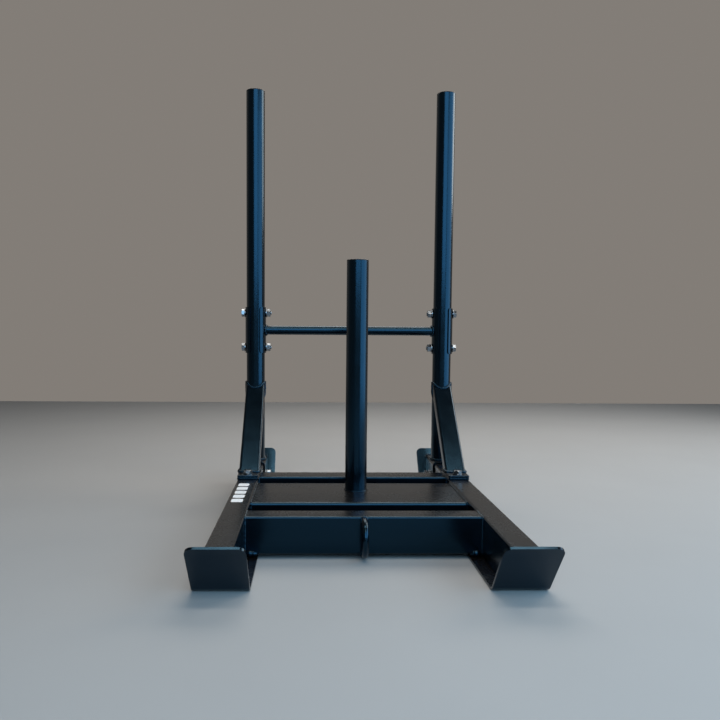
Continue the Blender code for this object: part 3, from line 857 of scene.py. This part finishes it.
def hexagon_radius(angle):
    """The hexagon's radius at an angle, with its corners just taken off."""
    off_flat = (angle + pi / 6) % (pi / 3) - pi / 6
    return min(HEX_REACH / cos(off_flat), HEX_CORNER)


def hexagon(z):
    return around(hexagon_radius, lambda angle, r: z)


def chamfered(z, way):
    """The hexagon's edge at a face at height z that looks up (1) or down (-1)."""
    slope = tan(CHAMFER_ANGLE)
    return around(hexagon_radius, lambda angle, r: z - way * (r - CHAMFER_FROM) * slope)


print("hexagon", HEX_WIDTH, "by", round(2 * HEX_CORNER, 4), "m")

# %% The thread
BOLT_RADIUS = 0.006
THREAD_PITCH = 0.00175
THREAD_DEPTH = 0.00095
THREAD_SHOWN = 0.0045
THREAD_STEPS = 22
RUN_OUT_STEPS = 3
STUB_CHAMFER = 0.0009


def thread_rows(start, end):
    """Rows down a threaded stub, from height start to height end, where it is chamfered."""
    rows = []
    for step in range(1, THREAD_STEPS + 1):
        z = start + (end - start) * step / THREAD_STEPS
        chamfer = STUB_CHAMFER * (1 - min(1.0, max(0.0, z - end) / STUB_CHAMFER))
        depth = THREAD_DEPTH * min(1.0, step / RUN_OUT_STEPS)

        def radius_at(angle, z=z, chamfer=chamfer, depth=depth):
            phase = (z / THREAD_PITCH - angle / (2 * pi)) % 1.0
            return BOLT_RADIUS - max(depth * (1 - abs(2 * phase - 1)), chamfer)

        rows.append(around(radius_at, lambda angle, r, z=z: z))
    return rows


print("thread of", round(THREAD_SHOWN / THREAD_PITCH, 1), "turns")

# %% Bolt, nut and washer
HEAD_HEIGHT = 0.0075
UNDER_HEAD = 0.0003
BORE = BOLT_RADIUS + GAP
BORE_CHAMFER = 0.0006
WASHER_EDGE = 0.0003


def bolt_rows(grip):
    """A bolt that looks up, from the top of its head down to its end at -grip."""
    rows = [[(0, 0, HEAD_HEIGHT)], level(CHAMFER_FROM * 0.6, HEAD_HEIGHT)]
    rows += [level(CHAMFER_FROM, HEAD_HEIGHT), chamfered(HEAD_HEIGHT, 1), hexagon(UNDER_HEAD)]
    rows += [level(CHAMFER_FROM, 0.0), level(BOLT_RADIUS, 0.0)]
    rows += [level(BOLT_RADIUS, THREAD_SHOWN - grip)] + thread_rows(THREAD_SHOWN - grip, -grip)
    return rows + [level(BOLT_RADIUS * 0.5, -grip), [(0, 0, -grip)]]


def nut_rows(height):
    rim = BORE + BORE_CHAMFER
    rows = [level(BORE, BORE_CHAMFER), level(rim, 0.0), level(CHAMFER_FROM, 0.0)]
    rows += [chamfered(0.0, -1), chamfered(height, 1), level(CHAMFER_FROM, height)]
    rows += [level(rim, height), level(BORE, height - BORE_CHAMFER)]
    return rows + rows[:1]


def washer_rows(radius, height):
    rows = [level(BORE, 0.0), level(radius - WASHER_EDGE, 0.0), level(radius, WASHER_EDGE)]
    rows += [level(radius, height - WASHER_EDGE), level(radius - WASHER_EDGE, height)]
    rows.append(level(BORE, height))
    return rows + rows[:1]


def prototype(name, rows):
    """A loose object, never shown, that the tree copies."""
    return bpy.data.objects.new(name, skin(name, rows, "open"))


print("bores are", round(2 * BORE, 4), "m wide")

# %% [markdown]
# ### Setting the fasteners
# A tree puts a copy on each point, turns it to face the way its point says, and spins it by a
# random angle with a fixed seed, because no two bolts on a real machine stop at the same flat.

# %% The fastener tree
def fastener_tree():
    sockets = [("Fastener", "Object"), ("Seed", "Int"), ("Material", "Material")]
    tree, given = open_tree("fasteners_on_points", sockets)
    source = {"Object": given["Fastener"]}
    source = add_node(tree, "GeometryNodeObjectInfo", source).outputs["Geometry"]
    facing = add_node(
        tree, "GeometryNodeInputNamedAttribute", {"Name": "facing"}, data_type="FLOAT_VECTOR")
    aimed = {"Vector": facing.outputs[0]}
    aimed = output(tree, "FunctionNodeAlignRotationToVector", aimed, axis="Z")
    placing = {"Points": given["Geometry"], "Instance": source, "Rotation": aimed}
    placed = output(tree, "GeometryNodeInstanceOnPoints", placing)
    order = output(tree, "GeometryNodeInputIndex")
    chance = {2: 0.0, 3: pi / 3, "ID": order, "Seed": given["Seed"]}
    angle = add_node(tree, "FunctionNodeRandomValue", chance, data_type="FLOAT").outputs[1]
    spin = {"Axis": (0, 0, 1), "Angle": angle}
    spin = output(tree, "FunctionNodeAxisAngleToRotation", spin)
    turned = {"Instances": placed, "Rotation": spin}
    turned = output(tree, "GeometryNodeRotateInstances", turned)
    close_tree(tree, turned, given["Material"])
    return tree


fastening = fastener_tree()
print(fastening.name, "has", len(fastening.nodes), "nodes")

# %% Where a fastener sits
UP = Vector((0, 0, 1))


def seat(node, way):
    """The point in the middle of a solid's face that looks against `way`."""
    low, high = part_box(node)
    return (low + high) / 2 - way * abs(way.dot(high - low)) / 2


def under_head(node, way):
    """The point under the head of a bolt whose head looks along `way`."""
    return seat(node, -way) - way * HEAD_HEIGHT


def set_fasteners(name, shape, members, seed, spot=seat):
    """Copies a shape to all its members, which are (node, way) pairs, as one piece."""
    points = bpy.data.meshes.new(f"{name}_points")
    points.from_pydata([tuple(spot(node, way)) for node, way in members], [], [])
    facing = points.attributes.new("facing", "FLOAT_VECTOR", "POINT")
    for item, (node, way) in zip(facing.data, members):
        item.vector = way
    values = {"Fastener": shape, "Seed": seed, "Material": zinc}
    mesh = run_tree(name, fastening, points, values)
    piece(name, mesh, zinc, [node for node, way in members])
    print(name, len(members), "pieces,", len(mesh.polygons), "faces")


print("foot bolt heads sit at", round(under_head("left_foot_bolt", UP).z, 4), "m")

# %% Bolts
def set_bolts(kind, members, seed):
    """Bolts of one length, from the size of the last of their solids."""
    node, way = members[-1]
    low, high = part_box(node)
    shape = prototype(f"{kind}_bolt", bolt_rows(abs(way.dot(high - low)) - HEAD_HEIGHT))
    set_fasteners(f"{kind}_bolts", shape, members, seed, under_head)


outward = {hand: Vector((side, 0, 0)) for hand, side in SIDES}
clamp_bolts = [(f"{hand}_{place}_clamp_bolt", way)
               for hand, way in outward.items() for place in ("upper", "lower")]
set_bolts("clamp", clamp_bolts, 11)
set_bolts("saddle", [(f"{hand}_saddle_bolt", way) for hand, way in outward.items()], 8)
set_bolts("foot", [(f"{hand}_foot_bolt", UP) for hand in outward], 5)

# %% Nuts and washers
nuts, washers = [], []
for hand, way in outward.items():
    for place in ("upper_clamp", "lower_clamp", "saddle"):
        bolt = f"{hand}_{place}"
        washers += [(f"{bolt}_head_washer", way), (f"{bolt}_nut_washer", -way)]
        nuts.append((f"{bolt}_nut", -way))
    washers.append((f"{hand}_foot_bolt_washer", UP))
    nuts.append((f"{hand}_foot_weld_nut", UP))
low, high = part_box("left_saddle_nut")
set_fasteners("hexagon_nuts", prototype("hexagon_nut", nut_rows(high.x - low.x)), nuts, 6)
low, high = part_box("left_saddle_head_washer")
washer = prototype("flat_washer", washer_rows((high.z - low.z) / 2, high.x - low.x))
set_fasteners("flat_washers", washer, washers, 7)

# %% [markdown]
# ## Welds
# Where two pieces of steel meet, a bead of weld runs along the corner, under the paint. Sculpting
# them would take long and never repeat, so each bead is a path along its corner, and the sweep
# tree gives it its body and ripples. Rings go round the post, the poles, the rod and the bar, and
# lines run along the ends of the cross members, the platform and the braces.

# %% Weld helpers
BEAD_STEP = 0.0006
BEAD_PITCH = 1.05  # of the bead's radius
UNEVENNESS = 0.16
TAPER = 0.004
RING_STEPS = 72
SUNK = 0.0004  # how deep a bead's middle lies in the plane that it is welded to
OFF_CORNER = 0.0006  # how far it lies off a tube's corner
OFF_PLATE = 0.0008  # and off a bent or a cut plate


def beads(name, paths, radius, taper, seed, ripple=0.08):
    """Welds along these paths, as one piece."""
    sizes = {"Radius": radius, "Step": BEAD_STEP, "Ripple Pitch": radius * BEAD_PITCH,
             "Ripple Depth": ripple, "Unevenness": UNEVENNESS, "Seed": seed,
             "End Taper": taper}
    swept(name, paths, sizes, [])


def closed(points):
    return points + points[:1]


def ring_path(centre, radius, z):
    """A level ring round an upright tube."""
    return closed([(centre[0] + radius * a, centre[1] + radius * b, z)
                   for a, b in circle(1.0, RING_STEPS)])


def straight_path(start, end, parts):
    """Even steps from one point to another."""
    return [tuple(a + (b - a) * part / parts for a, b in zip(start, end))
            for part in range(parts + 1)]


runner_low, runner_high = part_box("right_runner")
INNER_FACE = runner_low.x  # the side of the right runner that looks inwards
print("cross members end", round(INNER_FACE, 4), "m from the middle")

# %% Welds of the cross members
end_paths = []
for hand, side in SIDES:
    for name in ("front_cross_tube", "rear_cross_tube"):
        low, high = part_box(name)
        start = low.y - OFF_CORNER, low.z - OFF_CORNER
        outline = tube_outline(start, (high.y + OFF_CORNER, high.z - 0.0014), TUBE_CORNER)
        end_paths.append(closed([(side * (INNER_FACE - SUNK), y, z) for y, z in outline]))
beads("cross_tube_welds", end_paths, 0.0026, NO_TAPER, 1.0)

low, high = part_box("weight_platform")
foot = low.z + 0.001
corners = [(low.y, foot), (low.y, high.z), (high.y, high.z), (high.y, foot)]
rim = folded_line(corners, DECK_BEND + DECK_THICKNESS)
rim_paths = [[(side * (INNER_FACE - SUNK), *point) for point, normal in rim]
                  for hand, side in SIDES]
beads("platform_welds", rim_paths, 0.0023, TAPER, 2.0)

# %% Welds of the post and the tow loop
low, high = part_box("weight_post")
post_ring = ring_path((low + high) / 2, (high.x - low.x) / 2 + 0.0003, low.z + 0.0003)
beads("post_foot_weld", [post_ring], 0.0016, NO_TAPER, 3.0)

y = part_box("tow_loop")[1].y - 0.0012
loop_rings = [closed([(ROD_RADIUS * a, y, z + ROD_RADIUS * b) for a, b in circle(1.0, LOOP_STEPS)])
              for z in (loop_z + LOOP_RADIUS, loop_z - LOOP_RADIUS)]
beads("tow_loop_welds", loop_rings, 0.0024, NO_TAPER, 4.0)

# %% Welds of the skis
y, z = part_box("front_cross_tube")[0].y + OFF_CORNER, 0.0122
ends = INNER_FACE - 0.001, INNER_FACE - 0.024
ski_paths = [straight_path(*[(side * x, y, z) for x in ends], 8) for hand, side in SIDES]
beads("front_tube_foot_welds", ski_paths, 0.0068, 0.006, 5.0, 0.03)

tip_paths = []
inset = TUBE_CORNER * 0.5
surface = [(y, z) for y, z in ski_surface() if 0.012 < z < runner_high.z]
surface.append((reach_at(runner_high.z - 0.002), runner_high.z - 0.002))
for hand, side in SIDES:
    for end in (-1, 1):
        for edge in (runner_low.x, runner_high.x):
            tip_paths.append([(side * edge, end * (y - OFF_PLATE), z) for y, z in surface])
        y, z = end * (reach_at(runner_high.z) - OFF_PLATE), runner_high.z
        low_x, high_x = side * (runner_low.x + inset), side * (runner_high.x - inset)
        tip_paths.append(straight_path((low_x, y, z), (high_x, y, z), 12))
beads("ski_tip_welds", tip_paths, 0.0024, TAPER, 6.0)

# %% Welds of the uprights
lift = 0.0012
pole_paths = [ring_path((side * POLE_X, POLE_Y), POLE_RADIUS + lift, pole_low.z + lift)
              for hand, side in SIDES]
beads("pole_foot_welds", pole_paths, 0.0040, NO_TAPER, 7.0)

brace_ends = [brace_rows(side) for hand, side in SIDES]
notch_paths = [closed(top) for foot, top in brace_ends]
foot_paths = [closed([(x, y, z + OFF_PLATE) for x, y, z in foot]) for foot, top in brace_ends]
beads("brace_welds", notch_paths + foot_paths, 0.0037, NO_TAPER, 8.0)

low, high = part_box("right_runner_pad")
pad_paths = []
for hand, side in SIDES:
    for x in (low.x + 0.0005, high.x - 0.0005):
        start = (side * x, low.y + PLATE_CORNER, low.z + SUNK)
        pad_paths.append(straight_path(start, (side * x, high.y - PLATE_CORNER, low.z + SUNK), 40))
beads("runner_pad_welds", pad_paths, 0.0019, TAPER, 9.0)

bar_paths = [closed([(x - side * OFF_CORNER, y, z) for x, y, z in row])
             for row, side in zip(bar_rows(), (-1, 1))]
beads("push_bar_welds", bar_paths, 0.0034, NO_TAPER, 10.0)

# %% [markdown]
# ## Floor and room
# A plain pale floor and room keep the eye on the sled. Black gloss is drawn by what it reflects,
# so the room matters as much as the lamps. Its pale walls give the flat tops their soft grey, a
# darker ceiling keeps the braces dark, and a darker wall on the front left leaves one side of each
# round tube in shade. A photographed room would need an image, and its shapes would show.

# %% Floor
FLOOR_SIZE = 5.6
FLOOR_COLOURS = (0.325, 0.325, 0.325, 1), (0.35, 0.35, 0.35, 1)
reach, z = FLOOR_SIZE / 2, -0.0002
corners = [(-reach, -reach, z), (reach, -reach, z), (reach, reach, z), (-reach, reach, z)]
mesh = bpy.data.meshes.new("studio_floor")
mesh.from_pydata(corners, [], [(0, 1, 2, 3)])
floor = linked("studio_floor", mesh)
matt = {"Roughness": 0.75, "Specular IOR Level": 0.2}
finish, tree, shader, place = new_finish("pale_floor", matt)
colour = mix_colour(tree, noise(tree, place, 3.0), *FLOOR_COLOURS)
tree.links.new(colour, shader["Base Color"])
mesh.materials.append(finish)
print("floor", FLOOR_SIZE, "m")

# %% Room
WALL_COLOUR = (0.225, 0.205, 0.185, 1)
DARK_WALL = (0.12, 0.115, 0.11, 1)
CEILING_COLOUR = (0.05, 0.05, 0.05, 1)
world = bpy.data.worlds.new("studio_room")
bpy.context.scene.world = world
world.use_nodes = True
tree = world.node_tree
direction = add_node(tree, "ShaderNodeTexCoord").outputs["Generated"]
way = add_node(tree, "ShaderNodeSeparateXYZ", {0: direction}).outputs
in_front = remap(tree, way["Y"], 0.35, 0.0)
on_left = times(tree, remap(tree, way["X"], -0.15, -0.45), in_front)
walls = mix_colour(tree, on_left, WALL_COLOUR, DARK_WALL)
room = mix_colour(tree, remap(tree, way["Z"], 0.45, 0.56), walls, CEILING_COLOUR)
tree.links.new(room, tree.nodes["Background"].inputs["Color"])
print(world.name, "has", len(tree.nodes), "nodes")

# %% [markdown]
# ## Lamps
# Each of the large soft panels has its own job. A window behind and a strip above draw the edges
# that look up. Cool panels in front and on the right give each round tube one broad light stripe.
# A high panel and one at the back right light the tops and the white paint. A single lamp would be
# simpler, but it would leave most of a black frame without any line to see it by.

# %% Lamps
WARM, COOL = (1.0, 0.92, 0.83), (0.36, 0.70, 1.0)
# Name, place, the point it looks at, width, height, brightness and colour.
LAMPS = (
    ("rear_window", (0.25, 1.50, 2.30), (0.25, -0.1, 0.1), 1.9, 1.5, 4.2, WARM),
    ("ceiling_strip", (0.20, -0.66, 2.7), (0.20, -0.45, 0.1), 2.3, 0.36, 7.5, WARM),
    ("front_panel", (0.15, -2.5, 1.50), (0.0, 0.1, 0.9), 2.4, 1.56, 3.7, COOL),
    ("high_panel", (0.1, -1.85, 2.45), (0.1, 0.2, 0.4), 2.0, 0.8, 3.0, WARM),
    ("right_panel", (2.37, -0.96, 1.03), (0.0, 0.1, 0.98), 3.4, 2.06, 3.1, COOL),
    ("side_panel", (2.30, 1.00, 1.78), (0.25, 0.3, 0.7), 1.3, 1.3, 5.6, WARM),
)


def soft_panel(name, place, target, width, height, brightness, colour):
    """An area lamp that looks at a point. Its power follows from how bright its face looks."""
    data = bpy.data.lights.new(name, "AREA")
    data.shape = "RECTANGLE"
    data.size = width
    data.size_y = height
    data.energy = brightness * pi * width * height
    data.color = colour
    lamp = linked(name, data)
    way = (Vector(target) - Vector(place)).to_track_quat("-Z", "Y")
    lamp.matrix_world = Matrix.Translation(place) @ way.to_matrix().to_4x4()
    lamp.visible_camera = False


for lamp in LAMPS:
    soft_panel(*lamp)
print(len(LAMPS), "lamps")

# %% [markdown]
# ## Camera
# The camera stands low in front of the tow end and looks slightly down. A constraint could aim it,
# but plain turns about its own axes say exactly how it stands, and a small shift moves the frame
# without bending the uprights.

# %% Camera
LENS = 35
CAMERA_PLACE = (-0.1059, -1.5745, 0.4463)
TURN_RIGHT = radians(1.4)
LOOK_DOWN = radians(4.0)
ROLL = 0.0065
data = bpy.data.cameras.new("camera")
data.lens = LENS
data.sensor_width = 36
data.shift_x = 0.0448
data.shift_y = 0.0279
camera = linked("camera", data)
turn = Matrix.Rotation(-TURN_RIGHT, 4, "Z")
tilt = Matrix.Rotation(pi / 2 - LOOK_DOWN, 4, "X")
camera.matrix_world = Matrix.Translation(CAMERA_PLACE) @ turn @ tilt @ Matrix.Rotation(ROLL, 4, "Z")
bpy.context.scene.camera = camera
bpy.context.scene.view_settings.view_transform = "Standard"
print("camera with a", LENS, "mm lens")
